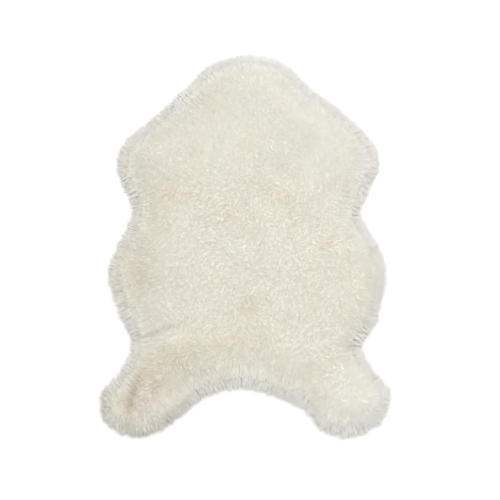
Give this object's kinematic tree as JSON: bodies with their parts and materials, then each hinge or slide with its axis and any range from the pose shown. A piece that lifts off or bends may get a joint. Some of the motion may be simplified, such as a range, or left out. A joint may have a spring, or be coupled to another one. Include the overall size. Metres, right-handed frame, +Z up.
{
  "type": "shaped shag rug",
  "caption": "Flat shag rug cut to a sheepskin outline, with thick pale pile that rises from a rolled rim and soft locks lying outward all round.",
  "frame": {"origin": "on the floor, under the middle of the rug's box", "axes": "+Y runs from the foot end to the neck, +X to the right of someone standing at the foot end, +Z up"},
  "size_m": [0.6464, 0.9068, 0.0451],
  "materials": {
    "pile": "soft matt cream-white acrylic pile, crimped at the tips",
    "backing": "plain suede-like polyester knit, matt, cream"
  },
  "bodies": {
    "root": {"pile": "pile"}
  },
  "joints": []
}
